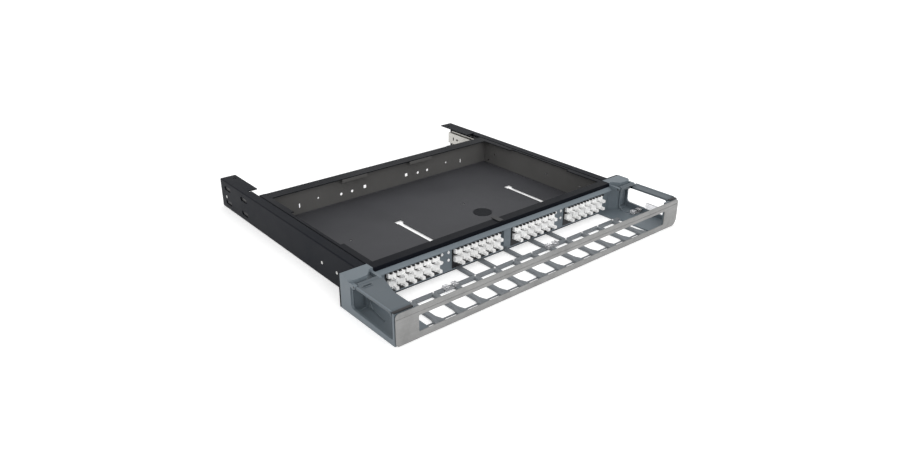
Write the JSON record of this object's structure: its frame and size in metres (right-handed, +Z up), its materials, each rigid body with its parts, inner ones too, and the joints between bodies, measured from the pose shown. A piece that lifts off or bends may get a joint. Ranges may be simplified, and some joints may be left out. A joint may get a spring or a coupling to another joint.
{
  "type": "sliding fibre patch drawer",
  "caption": "Rack drawer one unit high for fibre patching, with duplex adapters, a lattice cable floor in front and telescopic slides.",
  "frame": {"origin": "centre of the four rack slots, on the face of the ears that lies on the rack's rails", "axes": "+X to the right seen from the front, +Y back into the rack, +Z up"},
  "size_m": [0.4826, 0.47, 0.0442],
  "materials": {
    "black_steel": "satin",
    "zinc_steel": "satin",
    "bright_steel": "polished",
    "grey_plastic": "matte",
    "black_plastic": "matte",
    "adapter_plastic": "matte",
    "white_plastic": "satin",
    "silver_front": "satin",
    "clear_plastic": "gloss"
  },
  "bodies": {
    "frame": {"left_side_bracket": "black_steel", "left_outer_slide_member": "zinc_steel", "left_slide_rivets": "zinc_steel", "right_side_bracket": "black_steel", "right_outer_slide_member": "zinc_steel", "right_slide_rivets": "zinc_steel"},
    "drawer": {"adapter_block_1": "black_plastic", "adapter_block_2": "black_plastic", "adapter_block_3": "black_plastic", "adapter_block_4": "black_plastic", "bezel": "silver_front", "cable_clips": "clear_plastic", "centre_snap": "black_plastic", "dust_caps_1": "white_plastic", "dust_caps_2": "white_plastic", "dust_caps_3": "white_plastic", "dust_caps_4": "white_plastic", "end_guide_screws": "bright_steel", "front_panel_moulding": "grey_plastic", "front_sheet": "black_steel", "lattice_floor": "grey_plastic", "lc_adapters_1": "adapter_plastic", "lc_adapters_2": "adapter_plastic", "lc_adapters_3": "adapter_plastic", "lc_adapters_4": "adapter_plastic", "left_end_guide": "grey_plastic", "left_hinge_pin": "bright_steel", "left_inner_slide_member": "zinc_steel", "left_inner_slide_screws": "bright_steel", "panel_snap_rivets": "white_plastic", "rear_rim_rail": "black_steel", "right_end_guide": "grey_plastic", "right_hinge_pin": "bright_steel", "right_inner_slide_member": "zinc_steel", "right_inner_slide_screws": "bright_steel", "sill_tab": "clear_plastic", "tray": "black_steel", "tray_front_screws": "bright_steel"},
    "left_middle": {"left_middle_slide_member": "zinc_steel"},
    "left_outer_cage": {"left_outer_ball_cage": "zinc_steel", "left_outer_slide_balls": "bright_steel"},
    "left_inner_cage": {"left_inner_ball_cage": "zinc_steel", "left_inner_slide_balls": "bright_steel"},
    "left_gate": {"left_gate_arm": "grey_plastic"},
    "right_middle": {"right_middle_slide_member": "zinc_steel"},
    "right_outer_cage": {"right_outer_ball_cage": "zinc_steel", "right_outer_slide_balls": "bright_steel"},
    "right_inner_cage": {"right_inner_ball_cage": "zinc_steel", "right_inner_slide_balls": "bright_steel"},
    "right_gate": {"right_gate_arm": "grey_plastic"}
  },
  "joints": [
    {"name": "drawer_slide", "type": "slide", "parent": "frame", "child": "drawer", "axis": [0, -1, 0], "range_m": [0, 0.3]},
    {"name": "left_middle_slide", "type": "slide", "parent": "frame", "child": "left_middle", "axis": [0, -1, 0], "range_m": [0, 0.15]},
    {"name": "left_outer_cage_slide", "type": "slide", "parent": "frame", "child": "left_outer_cage", "axis": [0, -1, 0], "range_m": [0, 0.075]},
    {"name": "left_inner_cage_slide", "type": "slide", "parent": "frame", "child": "left_inner_cage", "axis": [0, -1, 0], "range_m": [0, 0.225]},
    {"name": "left_gate_hinge", "type": "hinge", "parent": "drawer", "child": "left_gate", "pos_m": [0, -0.0315, 0.0164], "axis": [-1, 0, 0], "range_deg": [0, 80]},
    {"name": "right_middle_slide", "type": "slide", "parent": "frame", "child": "right_middle", "axis": [0, -1, 0], "range_m": [0, 0.15]},
    {"name": "right_outer_cage_slide", "type": "slide", "parent": "frame", "child": "right_outer_cage", "axis": [0, -1, 0], "range_m": [0, 0.075]},
    {"name": "right_inner_cage_slide", "type": "slide", "parent": "frame", "child": "right_inner_cage", "axis": [0, -1, 0], "range_m": [0, 0.225]},
    {"name": "right_gate_hinge", "type": "hinge", "parent": "drawer", "child": "right_gate", "pos_m": [0, -0.0315, 0.0164], "axis": [-1, 0, 0], "range_deg": [0, 80]}
  ],
  "couplings": [
    {"joint": "left_middle_slide", "follows": "drawer_slide", "ratio": 0.5},
    {"joint": "left_outer_cage_slide", "follows": "drawer_slide", "ratio": 0.25},
    {"joint": "left_inner_cage_slide", "follows": "drawer_slide", "ratio": 0.75},
    {"joint": "right_middle_slide", "follows": "drawer_slide", "ratio": 0.5},
    {"joint": "right_outer_cage_slide", "follows": "drawer_slide", "ratio": 0.25},
    {"joint": "right_inner_cage_slide", "follows": "drawer_slide", "ratio": 0.75}
  ]
}
